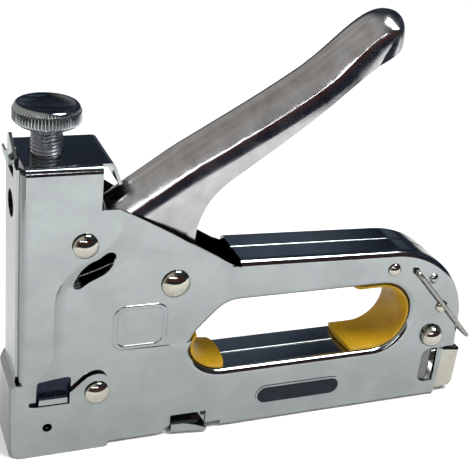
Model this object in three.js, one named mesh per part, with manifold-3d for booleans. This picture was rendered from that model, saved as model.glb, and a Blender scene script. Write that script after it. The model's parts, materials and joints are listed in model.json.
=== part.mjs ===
// Hand staple gun: two chromed sheet housings, a spring-driven striker, a raised squeeze lever,
// a tension screw on the head and a rear-loading magazine.
// Millimetres. +X from the nose to the rear, +Z up, -Y is the left side.
// The origin is the middle of the nose's front wall, where it presses on the work.
import * as THREE from "three";
import { mergeVertices } from "three/addons/utils/BufferGeometryUtils.js";
import Module from "manifold-3d";

const wasm = await Module();
wasm.setup();

// ---- driving dimensions ----
const SHEET = 1.0; // thickness of the pressed sheet
const GAP = 0.3; // clearance between touching pieces
const BEND = 2.5; // outside radius of the housing bends
const FRONT_X = 0.8; // outer front face of the housings
const BODY_HALF = 11.1; // half width over the grip and the base
const HEAD_HALF = 13.2; // half width over the widened head
const BASE_Z = 1.2; // lower edge of the housings
const HEAD_TOP_Z = 107.3; // upper edge of the housings under the cap
const GRIP_Z = 70.4; // top of the grip where it begins
const GRIP_X = 79; // where the grip's top flange begins
const REAR = { x: 140, z: 32, along: 36.7, up: 36.4 }; // quarter ellipse at the grip's rear end
const LOWER_REAR_X = 169.5; // housing edge beside the magazine
const STEP_Z = 23; // height of the step above the magazine
const HOLE = { floor: 25.5, ceiling: 54.2, front: 63, rear: 138, z: 39.85, r: 14.35 };
const SEAM = 0.15; // each flange stops this far from the middle

const PIVOT = { x: 55.3, z: 64, r: 3.0 }; // lever hinge
const ROLLER = { x: 22, z: 53.2, r: 2.4 }; // lifting roller at the tips of the lever's arms
const LEVER_HALF = 9.0;
const LEVER_SHEET = 1.2;
const SCREW_X = 12.4; // axis of the tension screw and main spring
const STUD_R = 5.05;
const KNOB = { r: 10.8, low: 119.8, top: 126.3 };
const CAP = { half: 14.5, top: 110.2, front: 3.4, rear: 27.4 };
const UPPER_RIVET = { x: 22.5, z: 83 };
const LOWER_RIVET = { x: 29.2, z: 24.2 };
const GRIP_RIVETS = [{ x: 141.4, z: 60.8 }, { x: 166.0, z: 42.1 }];
const BAIL = { x: 151.1, z: 59.4, endX: 180, endZ: 28, half: 13.7, wire: 1.0 };
const BUTTON = { x: 162, z: 30, r: 3.9, proud: 4.0 };
const STRIKER = { front: 5.1, half: 7.4, bottom: 40, top: 62, ledge: 56.4 };
const LINER = { half: 9.8, wall: 1.6 };
const MAG = { front: 5.0, rear: 156, half: 8.3, top: 16 };
const ROD = { z: 13, r: 0.9 };
const FAR = 40; // longer than any half width, for cutters

const CHROME = { color: 0xc9cdd0, metalness: 1, roughness: 0.12 };
const NICKEL = { color: 0xc8c0a8, metalness: 1, roughness: 0.2 };
const STEEL = { color: 0x8d9094, metalness: 1, roughness: 0.35 };
const DARK = { color: 0x33363a, metalness: 0.9, roughness: 0.45 };
const YELLOW = { color: 0xd9a520, metalness: 0, roughness: 0.45 };
const RUBBER = { color: 0x151515, metalness: 0, roughness: 0.8 };

// ---- solids ----
function toSolid(geometry) {
  const plain = geometry.index ? geometry.toNonIndexed() : geometry.clone();
  plain.deleteAttribute("normal");
  plain.deleteAttribute("uv");
  const merged = mergeVertices(plain, 1e-4);
  return new wasm.Manifold(new wasm.Mesh({
    numProp: 3,
    vertProperties: new Float32Array(merged.attributes.position.array),
    triVerts: new Uint32Array(merged.index.array),
  }));
}

function toGeometry(solid) {
  const mesh = solid.getMesh();
  const geometry = new THREE.BufferGeometry();
  geometry.setAttribute("position", new THREE.BufferAttribute(new Float32Array(mesh.vertProperties), 3));
  geometry.setIndex(new THREE.BufferAttribute(new Uint32Array(mesh.triVerts), 1));
  return geometry;
}

const join = (...solids) => solids.reduce((all, next) => all.add(next));
const cut = (solid, ...tools) => tools.reduce((left, tool) => left.subtract(tool), solid);

function mirrored(geometry) {
  const copy = geometry.clone();
  copy.scale(1, -1, 1);
  const index = copy.index.array;
  for (let i = 0; i < index.length; i += 3) [index[i + 1], index[i + 2]] = [index[i + 2], index[i + 1]];
  return copy;
}

function outline(points) {
  return new THREE.Shape(points.map(([a, b]) => new THREE.Vector2(a, b)));
}

// A side outline (x, z) made solid from y0 to y1.
function plate(shape, y0, y1, curveSegments = 12) {
  const geometry = new THREE.ExtrudeGeometry(shape, { depth: y1 - y0, bevelEnabled: false, curveSegments });
  geometry.rotateX(Math.PI / 2);
  geometry.translate(0, y1, 0);
  return toSolid(geometry);
}

// A front outline (y, z) made solid from x0 to x1.
function section(shape, x0, x1, curveSegments = 6) {
  const geometry = new THREE.ExtrudeGeometry(shape, { depth: x1 - x0, bevelEnabled: false, curveSegments });
  const turn = new THREE.Matrix4().makeBasis(
    new THREE.Vector3(0, 1, 0), new THREE.Vector3(0, 0, 1), new THREE.Vector3(1, 0, 0));
  geometry.applyMatrix4(turn);
  geometry.translate(x0, 0, 0);
  return toSolid(geometry);
}

function block(x0, x1, y0, y1, z0, z1) {
  const geometry = new THREE.BoxGeometry(x1 - x0, y1 - y0, z1 - z0);
  geometry.translate((x0 + x1) / 2, (y0 + y1) / 2, (z0 + z1) / 2);
  return toSolid(geometry);
}

// A round bar along Y.
function crossPin(x, z, r, y0, y1, segments = 20) {
  const geometry = new THREE.CylinderGeometry(r, r, y1 - y0, segments);
  geometry.translate(x, (y0 + y1) / 2, z);
  return toSolid(geometry);
}

// A round bar along Z.
function upright(x, r, z0, z1, segments = 24) {
  const geometry = new THREE.CylinderGeometry(r, r, z1 - z0, segments);
  geometry.rotateX(Math.PI / 2);
  geometry.translate(x, 0, (z0 + z1) / 2);
  return toSolid(geometry);
}

// A pressed dish: the outline seen from the side, its rim rounded back from the flat face at -half.
// A positive inset gives the inside of the same dish.
function dish(shape, half, radius, inset = 0) {
  const geometry = new THREE.ExtrudeGeometry(shape, {
    depth: FAR, bevelEnabled: true, bevelThickness: radius, bevelSize: radius,
    bevelOffset: -radius - inset, bevelSegments: 2, curveSegments: 8,
  });
  geometry.rotateX(Math.PI / 2);
  geometry.translate(0, FAR + radius - half, 0);
  return toSolid(geometry);
}

// A closed tube of wire along a path.
function wire(path, radius, steps, sides = 6) {
  const ring = new THREE.Shape();
  ring.absarc(0, 0, radius, 0, Math.PI * 2);
  const geometry = new THREE.ExtrudeGeometry(ring, {
    steps, bevelEnabled: false, extrudePath: path, curveSegments: sides / 2,
  });
  return toSolid(geometry);
}

class Helix extends THREE.Curve {
  constructor(place, radius, length, turns) {
    super();
    Object.assign(this, { place, radius, length, turns });
  }
  getPoint(t) {
    const angle = t * this.turns * Math.PI * 2;
    const point = new THREE.Vector3(Math.cos(angle), Math.sin(angle), 0);
    point.multiplyScalar(this.radius).setZ(t * this.length);
    return point.applyMatrix4(this.place);
  }
}

// A lathed piece along Y, from a list of [radius, y].
function turned(profile, x, z, segments = 18) {
  const points = profile.map(([r, y]) => new THREE.Vector2(r, y));
  const geometry = new THREE.LatheGeometry(points, segments);
  geometry.translate(x, 0, z);
  return toSolid(geometry);
}

// A shaft along Y with a domed head over each face.
function domedRivet(x, z, face, headR, headH, shaftR) {
  const steps = 4;
  const half = [[shaftR, face]];
  for (let i = 0; i <= steps; i += 1) {
    const angle = (i / steps) * Math.PI / 2;
    half.push([i === steps ? 0 : headR * Math.cos(angle), face + headH * Math.sin(angle)]);
  }
  const opposite = half.map(([r, y]) => [r, -y]).reverse();
  return turned([...opposite, ...half], x, z);
}

// ---- side outlines ----
function handHole() {
  const hole = new THREE.Path();
  hole.moveTo(77, HOLE.floor);
  hole.bezierCurveTo(68.5, HOLE.floor, 62.6, 31.5, HOLE.front, 37.2);
  hole.bezierCurveTo(63.3, 42, 67, 45.2, 70, 48.5);
  hole.bezierCurveTo(73.5, 52.2, 75.5, HOLE.ceiling, 81, HOLE.ceiling);
  hole.lineTo(HOLE.rear, HOLE.ceiling);
  hole.absarc(HOLE.rear, HOLE.z, HOLE.r, Math.PI / 2, -Math.PI / 2, true);
  hole.closePath();
  return hole;
}

// The whole side, run past the open base and the open top so that no bend forms there.
function bodyOutline() {
  const side = new THREE.Shape();
  side.moveTo(FRONT_X, -12);
  side.lineTo(177.3, -12);
  side.lineTo(177.3, STEP_Z);
  side.absellipse(REAR.x, REAR.z, REAR.along, REAR.up, 0, Math.PI / 2, false);
  side.lineTo(GRIP_X, GRIP_Z);
  side.lineTo(GRIP_X - 1.5, GRIP_Z);
  side.lineTo(GRIP_X - 1.5, 130);
  side.lineTo(FRONT_X, 130);
  side.closePath();
  side.holes.push(handHole());
  return side;
}

function headOutline() {
  return outline([
    [-20, 36], [8, 36.8], [11.6, 39.5], [13.2, 44], [13.4, 62], [15.2, 68.5], [19.5, 74.5],
    [26, 79], [31.5, 83], [34, 88], [34, 140], [-20, 140],
  ]);
}

// The raised head: a flat pad whose edge slopes down to the body's face.
function headPad(half, drop, slope, inset) {
  const geometry = new THREE.ExtrudeGeometry(headOutline(), {
    depth: FAR, bevelEnabled: true, bevelThickness: drop, bevelSize: slope,
    bevelOffset: 0, bevelSegments: 1,
  });
  geometry.rotateX(Math.PI / 2);
  geometry.translate(0, FAR + drop - half, 0);
  const frontBlock = outline([[FRONT_X, -12], [90, -12], [90, 130], [FRONT_X, 130]]);
  return toSolid(geometry).intersect(dish(frontBlock, half, 3 - inset, inset));
}

function curvedSlot() {
  const slot = new THREE.Shape();
  slot.moveTo(31.5, 78.8);
  slot.bezierCurveTo(34.4, 78.4, 34.2, 75.4, 32, 72);
  slot.bezierCurveTo(29.5, 68.6, 26.4, 68.9, 23.6, 66.4);
  slot.bezierCurveTo(21.6, 64.6, 19, 65.2, 19.9, 68);
  slot.bezierCurveTo(21.2, 72.2, 23.4, 75.4, 26.6, 76.2);
  slot.bezierCurveTo(28.6, 76.8, 29.5, 79, 31.5, 78.8);
  return slot;
}

// The slit that frees the shoe's tab above the lower rivet.
function archSlot() {
  const arch = new THREE.Shape();
  arch.absarc(LOWER_RIVET.x, LOWER_RIVET.z, 9.2, 0.7, 2.7, false);
  arch.absarc(LOWER_RIVET.x, LOWER_RIVET.z, 7.7, 2.7, 0.7, true);
  return arch;
}

function latchNotch() {
  const notch = new THREE.Shape();
  notch.moveTo(175, 8.2);
  notch.absarc(162.3, 10.9, 2.7, -Math.PI / 2, -Math.PI, true);
  notch.absarc(162.3, 21.1, 2.9, Math.PI, Math.PI / 2, true);
  notch.lineTo(175, 24);
  return notch;
}

function openTop() {
  return outline([[27.4, 135], [27.4, 94.5], [33.4, 94.5], [75.6, 69.3], [GRIP_X, 67.8], [GRIP_X, 135]]);
}

// ---- housings ----
function housing() {
  const outer = join(
    dish(bodyOutline(), BODY_HALF, BEND),
    headPad(HEAD_HALF, HEAD_HALF - BODY_HALF, 5.5, 0));
  const inner = join(
    dish(bodyOutline(), BODY_HALF - SHEET, BEND - SHEET, SHEET),
    headPad(HEAD_HALF - SHEET, HEAD_HALF - BODY_HALF, 5.5, SHEET));
  const shell = cut(outer, inner,
    block(-30, 200, -SEAM, 80, -30, 160),
    block(-30, 200, -FAR, FAR, -30, BASE_Z),
    block(-30, CAP.rear + 1, -FAR, FAR, HEAD_TOP_Z, 160),
    plate(openTop(), -FAR, FAR),
    block(-5, 6, -5.8, 5, -30, 160),
    block(LOWER_REAR_X, 200, -FAR, FAR, -30, STEP_Z),
    plate(latchNotch(), -FAR, FAR),
    plate(curvedSlot(), -FAR, FAR, 6),
    plate(archSlot(), -FAR, FAR, 8),
    block(7.9, 19.7, -FAR, FAR, 21.4, 32.8),
    block(57.6, 71.4, -FAR, FAR, -5, 8.4),
    block(71.0, 77.5, -FAR, FAR, -5, 3.0),
    crossPin(12.1, 12.0, 1.7, -FAR, FAR),
    crossPin(PIVOT.x, PIVOT.z, PIVOT.r + GAP, -FAR, FAR),
    crossPin(UPPER_RIVET.x, UPPER_RIVET.z, 2.1, -FAR, FAR),
    crossPin(LOWER_RIVET.x, LOWER_RIVET.z, 2.2, -FAR, FAR),
    ...GRIP_RIVETS.map(({ x, z }) => crossPin(x, z, 1.8, -FAR, FAR)),
    crossPin(BAIL.x, BAIL.z, BAIL.wire + 0.4, -FAR, FAR),
    crossPin(BUTTON.x, BUTTON.z, BUTTON.r + GAP, -FAR, FAR));
  const dimple = turned([[0, -BODY_HALF - 0.9], [1.0, -BODY_HALF - 0.7], [1.5, -BODY_HALF + 0.2],
    [0, -BODY_HALF + 0.2]], 159.5, 56);
  return toGeometry(join(shell, dimple));
}

// ---- head pieces ----
function channel(half, top, bottom, sheet, radius) {
  const shape = new THREE.Shape();
  shape.moveTo(-half, bottom);
  shape.lineTo(-half + sheet, bottom);
  shape.absarc(-half + radius, top - radius, radius - sheet, Math.PI, Math.PI / 2, true);
  shape.absarc(half - radius, top - radius, radius - sheet, Math.PI / 2, 0, true);
  shape.lineTo(half - sheet, bottom);
  shape.lineTo(half, bottom);
  shape.absarc(half - radius, top - radius, radius, 0, Math.PI / 2, false);
  shape.absarc(-half + radius, top - radius, radius, Math.PI / 2, Math.PI, false);
  shape.closePath();
  return shape;
}

function topCap() {
  const side = new THREE.Shape();
  side.moveTo(CAP.front, CAP.top + 5);
  side.lineTo(CAP.front, 100);
  side.lineTo(5.6, 94.4);
  side.lineTo(10.4, 87);
  side.bezierCurveTo(12.6, 82.6, 13.8, 78, 18.5, 78);
  side.bezierCurveTo(23, 77.8, 25.6, 79.2, 27.2, 84);
  side.lineTo(CAP.rear, CAP.top + 5);
  const hood = section(channel(CAP.half, CAP.top, 60, SHEET, 2.6), CAP.front, CAP.rear)
    .intersect(plate(side, -FAR, FAR, 8));
  const flap = plate(outline([
    [CAP.rear - 3, CAP.top], [28.4, CAP.top], [30.4, 109.2], [31.8, 107], [33.4, 103.2],
    [32.4, 102.8], [30.9, 106.6], [29.8, 108.4], [28.2, CAP.top - SHEET], [CAP.rear - 3, CAP.top - SHEET],
  ]), -12.4, 12.4);
  return toGeometry(cut(join(hood, flap),
    upright(SCREW_X, STUD_R + 0.4, 100, 120),
    crossPin(UPPER_RIVET.x, UPPER_RIVET.z, 2.1, -FAR, FAR)));
}

// Upright guide behind the front flanges, with an ear above the cap and a tongue bent forward.
function frontPlate() {
  const x0 = FRONT_X + SHEET + GAP;
  const face = new THREE.Shape();
  face.moveTo(-9.2, 2.2);
  face.lineTo(9.2, 2.2);
  face.lineTo(9.2, 108);
  face.lineTo(6, 108);
  face.lineTo(6, 112);
  face.absarc(4, 112.4, 2, 0, Math.PI / 2, false);
  face.absarc(-4, 112.4, 2, Math.PI / 2, Math.PI, false);
  face.lineTo(-6, 108);
  face.lineTo(-9.2, 108);
  face.closePath();
  const bore = new THREE.Path();
  bore.absarc(0, 93, 4.6, 0, Math.PI * 2, true);
  face.holes.push(bore);
  const tongue = plate(outline([
    [x0 + 0.4, 107.2], [x0 + 0.4, 108.2], [0.4, 109.6], [-1.2, 112.2], [-2.0, 111.6], [-0.2, 108.6],
  ]), -3.7, 3.7);
  const opened = cut(section(face, x0, x0 + SHEET, 10), block(-5, 9, -4.4, 4.4, 103.5, 106.9));
  return toGeometry(join(opened, tongue));
}

// The shroud folded round the nose: a front wall and two sides.
function noseShoe() {
  const outer = BODY_HALF + GAP + SHEET;
  const frame = new THREE.Shape();
  frame.moveTo(-0.5, -outer + 3.6);
  frame.absarc(3.1, -outer + 3.6, 3.6, Math.PI, Math.PI * 1.5, false);
  frame.lineTo(34, -outer);
  frame.lineTo(34, -outer + SHEET);
  frame.absarc(3.1, -outer + 3.6, 2.6, Math.PI * 1.5, Math.PI, true);
  frame.absarc(3.1, outer - 3.6, 2.6, Math.PI, Math.PI / 2, true);
  frame.lineTo(34, outer - SHEET);
  frame.lineTo(34, outer);
  frame.absarc(3.1, outer - 3.6, 3.6, Math.PI / 2, Math.PI, false);
  frame.closePath();
  const settings = { depth: 60, bevelEnabled: false, curveSegments: 5 };
  const folded = toSolid(new THREE.ExtrudeGeometry(frame, settings));
  const side = new THREE.Shape();
  side.moveTo(-3, 0);
  side.lineTo(34, 0);
  side.lineTo(34, 24);
  side.bezierCurveTo(34, 28, 33, 31.8, LOWER_RIVET.x, 31.8);
  side.bezierCurveTo(25, 31.8, 23, 28, 19.6, 25.5);
  side.lineTo(19.6, 21);
  side.lineTo(5.6, 21);
  side.lineTo(5.6, 29.5);
  side.lineTo(-3, 29.5);
  side.closePath();
  return toGeometry(cut(folded.intersect(plate(side, -FAR, FAR, 6)),
    crossPin(LOWER_RIVET.x, LOWER_RIVET.z, 2.2, -FAR, FAR),
    crossPin(12.1, 12.0, 1.7, -FAR, FAR)));
}

function knob() {
  const { r, low, top } = KNOB;
  const profile = [[0, low], [7.5, low], [r - 0.8, low + 0.8], [r, low + 1.2], [r, top - 1.7],
    [r - 0.5, top - 1.1], [r - 1.1, top], [r - 2.4, top - 0.4], [0, top - 0.4]];
  const geometry = new THREE.LatheGeometry(profile.map(([a, b]) => new THREE.Vector2(a, b)), 36);
  geometry.rotateX(Math.PI / 2);
  geometry.translate(SCREW_X, 0, 0);
  return geometry;
}

function studNut() {
  const hexagon = new THREE.CylinderGeometry(8.6, 8.6, 3.7, 6);
  hexagon.rotateX(Math.PI / 2);
  hexagon.rotateZ(Math.PI / 2);
  hexagon.translate(SCREW_X, 0, 106.75);
  return toGeometry(cut(toSolid(hexagon), upright(SCREW_X, STUD_R + 0.35, 100, 112)));
}

function springCup() {
  return toGeometry(cut(upright(SCREW_X, 8.2, 101.4, 104.3), upright(SCREW_X, 1.6, 100, 102.6, 12)));
}

function mainSpring() {
  const place = new THREE.Matrix4().makeTranslation(SCREW_X, 0, 63.4);
  return toGeometry(wire(new Helix(place, 6.2, 36.5, 6.5), 1.2, 84));
}

// ---- striker ----
// The block that carries the blade, with a ledge over the lever's roller.
function strikerBlock() {
  const { front, half, bottom, top, ledge } = STRIKER;
  const carrier = join(
    block(front, 16.5, -half, half, bottom, top),
    block(front, 20, -half, half, ledge, top),
    block(front, 26, -half + 0.2, half - 0.2, ledge, ledge + 2.6));
  return toGeometry(cut(carrier, upright(SCREW_X, 3, 58, 63, 16)));
}

function stopBracket() {
  const fold = section(channel(9.6, 25.9, MAG.top + GAP, SHEET, 2), 6, 20);
  return toGeometry(fold);
}

// ---- lever ----
function leverOutline() {
  const side = new THREE.Shape();
  side.moveTo(22.8, 49.1);
  side.lineTo(57, 55.7);
  side.absarc(PIVOT.x, PIVOT.z, 8.4, -Math.PI * 0.4, 0.3, false);
  side.lineTo(62.2, 78.8);
  side.bezierCurveTo(63, 88, 65.5, 94, 72, 99.5);
  side.bezierCurveTo(84, 108.4, 96, 117, 107, 126.5);
  side.bezierCurveTo(113.5, 132.4, 120, 138.2, 127, 142.4);
  side.bezierCurveTo(137.5, 149, 133.5, 156.6, 124.5, 156.2);
  side.bezierCurveTo(116, 155.4, 108, 144.5, 97, 136.4);
  side.bezierCurveTo(82, 126, 66, 117, 53.7, 109.4);
  side.lineTo(31, 93.6);
  side.lineTo(31.5, 88.5);
  side.lineTo(43.5, 77);
  side.lineTo(43.5, 66.5);
  side.lineTo(20.9, 57.2);
  side.absarc(ROLLER.x, ROLLER.z, 4.2, Math.PI * 0.6, Math.PI * 1.56, false);
  side.closePath();
  return side;
}

// The crest and the rounded end, run far past the open underside and front.
function leverCrest() {
  const crest = new THREE.Shape();
  crest.moveTo(140, 20);
  crest.lineTo(135, 144);
  crest.bezierCurveTo(135.4, 151, 131.6, 156.4, 124.5, 156.2);
  crest.bezierCurveTo(116, 155.4, 108, 144.5, 97, 136.4);
  crest.bezierCurveTo(82, 126, 66, 117, 53.7, 109.4);
  crest.lineTo(5, 75.5);
  crest.lineTo(5, 20);
  crest.closePath();
  return crest;
}

function leverHull(half, radius, inset) {
  const geometry = new THREE.ExtrudeGeometry(leverCrest(), {
    depth: 2 * (half - radius), bevelEnabled: true, bevelThickness: radius, bevelSize: radius,
    bevelOffset: -radius - inset, bevelSegments: 4, curveSegments: 9,
  });
  geometry.rotateX(Math.PI / 2);
  geometry.translate(0, half - radius, 0);
  return toSolid(geometry);
}

function lever() {
  const full = leverHull(LEVER_HALF, 4.6, 0).intersect(plate(leverOutline(), -FAR, FAR, 8));
  return toGeometry(cut(full,
    leverHull(LEVER_HALF - LEVER_SHEET, 3.4, LEVER_SHEET),
    crossPin(PIVOT.x, PIVOT.z, PIVOT.r + GAP, -FAR, FAR)));
}

function returnSpring() {
  const place = new THREE.Matrix4().makeRotationX(Math.PI / 2)
    .premultiply(new THREE.Matrix4().makeTranslation(PIVOT.x, 3.5, PIVOT.z));
  return toGeometry(wire(new Helix(place, 4.6, 7, 4.5), 0.6, 54));
}

// ---- magazine ----
function magazineChannel() {
  const rail = section(channel(MAG.half, MAG.top, 1.6, SHEET, 1.6), MAG.front, MAG.rear, 4);
  const lugs = [-1, 1].map((side) => section(outline([
    [side * (MAG.half - 0.6), 1.6], [side * 11.7, 0.7], [side * 11.7, 4.6], [side * 10.9, 4.6],
    [side * 10.9, 2.4], [side * (MAG.half - 0.6), 3.0],
  ]), 58.2, 70.6));
  return toGeometry(join(rail, ...lugs));
}

function magazineCore() {
  return toGeometry(section(channel(4.6, 10.9, 1.6, 0.8, 1.2), MAG.front, MAG.rear, 4));
}

function follower() {
  const straddle = section(channel(6.8, 14.6, 2.0, 1.6, 2.0), 8, 26, 4);
  const web = block(8, 26, -5.6, 5.6, 11.3, 14.0);
  return toGeometry(cut(join(straddle, web), alongX(ROD.r + GAP, 0, 40)));
}

function alongX(radius, x0, x1, segments = 16) {
  const geometry = new THREE.CylinderGeometry(radius, radius, x1 - x0, segments);
  geometry.rotateZ(-Math.PI / 2);
  geometry.translate((x0 + x1) / 2, 0, ROD.z);
  return toSolid(geometry);
}

function pusherRod() {
  return toGeometry(join(alongX(ROD.r, 6.5, 179.6), alongX(3.2, MAG.rear, MAG.rear + 1.5)));
}

function followerSpring() {
  const place = new THREE.Matrix4().makeRotationY(Math.PI / 2)
    .premultiply(new THREE.Matrix4().makeTranslation(26.7, 0, ROD.z));
  return toGeometry(wire(new Helix(place, 1.55, MAG.rear - 27.3, 22), 0.25, 154, 4));
}

// Folded end cap that closes the magazine and carries the rod.
function pusherCap() {
  const side = outline([
    [166.5, 2.2], [178.6, 2.4], [180.6, 4.4], [181.2, 19.2], [170.4, 20.6], [166.5, 20.6],
  ]);
  const inside = outline([[150, -9], [177.6, -9], [179.7, 5], [180.2, 40], [150, 40]]);
  return toGeometry(cut(plate(side, -9.7, 9.7), plate(inside, -8.7, 8.7)));
}

// Spring arm inside the housing with the release button standing through it.
function latch() {
  const arm = plate(outline([
    [158.6, 10], [160, 8.8], [165.2, 8.8], [165.2, 33.8], [163.6, 35.6], [160.2, 35.6], [158.6, 33.8],
  ]), -9.8, -9.0);
  const outerY = BODY_HALF + BUTTON.proud;
  const button = turned([[0, -outerY], [1.6, -outerY + 0.2], [2.9, -outerY + 0.9], [BUTTON.r, -outerY + 2.2],
    [BUTTON.r, -9.4], [0, -9.4]], BUTTON.x, BUTTON.z, 20);
  return toGeometry(join(arm, button));
}

// ---- grip pieces ----
// A plastic liner that follows the hand hole between two ends.
function liner(keep) {
  const hole = new THREE.Shape(handHole().getPoints(10));
  const band = (inset, half) => {
    const geometry = new THREE.ExtrudeGeometry(hole, {
      depth: 2 * half, bevelEnabled: true, bevelThickness: 0.01, bevelSize: 0.01,
      bevelOffset: -0.01 - inset, bevelSegments: 1,
    });
    geometry.rotateX(Math.PI / 2);
    geometry.translate(0, half, 0);
    return toSolid(geometry);
  };
  const ring = cut(band(GAP, LINER.half), band(GAP + LINER.wall, FAR));
  return toGeometry(ring.intersect(plate(keep, -FAR, FAR)));
}

function frontLiner() {
  return liner(outline([[50, 10], [78.5, 10], [78.5, 30], [70, 34], [66, 43], [50, 43]]));
}

function rearLiner() {
  return liner(outline([[129.5, 10], [170, 10], [170, 70], [132.5, 70], [132.5, 45], [129.5, 35]]));
}

function spacer({ x, z }) {
  return toGeometry(cut(crossPin(x, z, 3.4, -9.7, 9.7), crossPin(x, z, 1.9, -FAR, FAR)));
}

function bail() {
  const reach = new THREE.Vector3(BAIL.endX - BAIL.x, 0, BAIL.endZ - BAIL.z);
  const at = (along, y) => new THREE.Vector3(BAIL.x, y, BAIL.z).addScaledVector(reach, along);
  const path = new THREE.CurvePath();
  const bend = 2.6;
  const small = bend / reach.length();
  const line = (a, b) => path.add(new THREE.LineCurve3(a, b));
  const turn = (a, b, c) => path.add(new THREE.QuadraticBezierCurve3(a, b, c));
  line(at(0, -9.4), at(0, -BAIL.half + bend));
  turn(at(0, -BAIL.half + bend), at(0, -BAIL.half), at(small, -BAIL.half));
  line(at(small, -BAIL.half), at(1 - small, -BAIL.half));
  turn(at(1 - small, -BAIL.half), at(1, -BAIL.half), at(1, -BAIL.half + bend));
  line(at(1, -BAIL.half + bend), at(1, BAIL.half - bend));
  turn(at(1, BAIL.half - bend), at(1, BAIL.half), at(1 - small, BAIL.half));
  line(at(1 - small, BAIL.half), at(small, BAIL.half));
  turn(at(small, BAIL.half), at(0, BAIL.half), at(0, BAIL.half - bend));
  line(at(0, BAIL.half - bend), at(0, 9.4));
  return toGeometry(wire(path, BAIL.wire, 64, 8));
}

// ---- assembly ----
const tool = new THREE.Group();

function addNode(name, geometry, { color, metalness, roughness }) {
  geometry.computeVertexNormals();
  const mesh = new THREE.Mesh(geometry, new THREE.MeshStandardMaterial({ color, metalness, roughness }));
  mesh.name = name;
  tool.add(mesh);
}

const leftHousing = housing();
addNode("left_housing", leftHousing, CHROME);
addNode("right_housing", mirrored(leftHousing), CHROME);
addNode("top_cap", topCap(), CHROME);
addNode("front_plate", frontPlate(), CHROME);
addNode("nose_shoe", noseShoe(), CHROME);
addNode("stud_nut", studNut(), STEEL);
addNode("tension_knob", knob(), CHROME);
addNode("tension_stud", toGeometry(upright(SCREW_X, STUD_R, 104.6, KNOB.low - GAP)), STEEL);
addNode("spring_cup", springCup(), STEEL);
addNode("main_spring", mainSpring(), DARK);
addNode("striker_block", strikerBlock(), STEEL);
addNode("driver_blade", toGeometry(block(3.5, 4.7, -5.3, 5.3, 2, 58)), DARK);
addNode("stop_bracket", stopBracket(), STEEL);
addNode("striker_bumper", toGeometry(block(5.6, 18.5, -7.4, 7.4, 26.2, 39.7)), RUBBER);
addNode("lever", lever(), CHROME);
addNode("lift_roller", toGeometry(crossPin(ROLLER.x, ROLLER.z, ROLLER.r, -7.4, 7.4)), STEEL);
addNode("lever_return_spring", returnSpring(), DARK);
// Each rivet: name, place, half width between its heads, head radius, head height, shaft radius.
const SHOE_HALF = BODY_HALF + GAP + SHEET;
const RIVETS = [
  ["lever_pivot", PIVOT, BODY_HALF + GAP, 5.25, 2.1, PIVOT.r],
  ["upper_rivet", UPPER_RIVET, CAP.half + GAP, 4.35, 1.9, 1.75],
  ["lower_rivet", LOWER_RIVET, SHOE_HALF + GAP, 4.4, 1.9, 1.9],
  ["grip_rivet_front", GRIP_RIVETS[0], BODY_HALF + 0.2, 2.6, 1.1, 1.5],
  ["grip_rivet_rear", GRIP_RIVETS[1], BODY_HALF + 0.2, 2.6, 1.1, 1.5],
];
for (const [name, { x, z }, face, headR, headH, shaftR] of RIVETS) {
  addNode(name, toGeometry(domedRivet(x, z, face, headR, headH, shaftR)), NICKEL);
}
addNode("grip_spacer_front", spacer(GRIP_RIVETS[0]), STEEL);
addNode("grip_spacer_rear", spacer(GRIP_RIVETS[1]), STEEL);
addNode("front_liner", frontLiner(), YELLOW);
addNode("rear_liner", rearLiner(), YELLOW);
addNode("wire_bail", bail(), NICKEL);
addNode("magazine_channel", magazineChannel(), STEEL);
addNode("magazine_core", magazineCore(), STEEL);
addNode("follower", follower(), DARK);
addNode("pusher_rod", pusherRod(), STEEL);
addNode("follower_spring", followerSpring(), DARK);
addNode("pusher_cap", pusherCap(), NICKEL);
const leftLatch = latch();
addNode("left_latch", leftLatch, NICKEL);
addNode("right_latch", mirrored(leftLatch), NICKEL);

export default tool;
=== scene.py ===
import json
import math

import bmesh
import bpy
from mathutils import Matrix, Vector, geometry


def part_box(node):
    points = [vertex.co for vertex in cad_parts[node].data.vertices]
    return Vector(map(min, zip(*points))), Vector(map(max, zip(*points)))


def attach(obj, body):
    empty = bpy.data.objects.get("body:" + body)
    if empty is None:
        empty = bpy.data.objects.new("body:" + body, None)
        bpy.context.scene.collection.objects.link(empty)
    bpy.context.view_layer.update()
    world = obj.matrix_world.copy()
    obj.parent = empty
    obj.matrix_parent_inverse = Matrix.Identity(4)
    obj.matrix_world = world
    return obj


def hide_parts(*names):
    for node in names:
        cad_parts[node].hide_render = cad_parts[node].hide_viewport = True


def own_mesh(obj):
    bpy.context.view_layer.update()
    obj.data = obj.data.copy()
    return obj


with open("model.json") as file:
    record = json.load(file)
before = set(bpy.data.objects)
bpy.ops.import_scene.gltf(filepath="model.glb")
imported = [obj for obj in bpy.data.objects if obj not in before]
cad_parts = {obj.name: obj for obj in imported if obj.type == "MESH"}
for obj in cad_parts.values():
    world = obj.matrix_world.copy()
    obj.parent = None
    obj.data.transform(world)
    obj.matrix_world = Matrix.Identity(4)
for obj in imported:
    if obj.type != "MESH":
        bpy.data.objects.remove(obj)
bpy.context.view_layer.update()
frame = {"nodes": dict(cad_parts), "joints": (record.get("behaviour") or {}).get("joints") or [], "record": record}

MM = 0.001  # pieces are drawn in millimetres and scaled to metres when they are finished
FAR = 40.0  # longer than any half width, for cutters


# ---- places, from the frame ----
def corners(node):
    """Lowest and highest corner of a CAD node, in millimetres."""
    low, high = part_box(node)
    return low / MM, high / MM


def middle(node):
    """Centre of a CAD node, taken to the plane between the two halves."""
    low, high = corners(node)
    return Vector(((low.x + high.x) / 2, 0, (low.z + high.z) / 2))


def named(items, name):
    return next(item for item in items if item["name"] == name)


def joint_point(name):
    return Vector(named(frame["joints"], name)["pos_m"]) / MM


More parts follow.
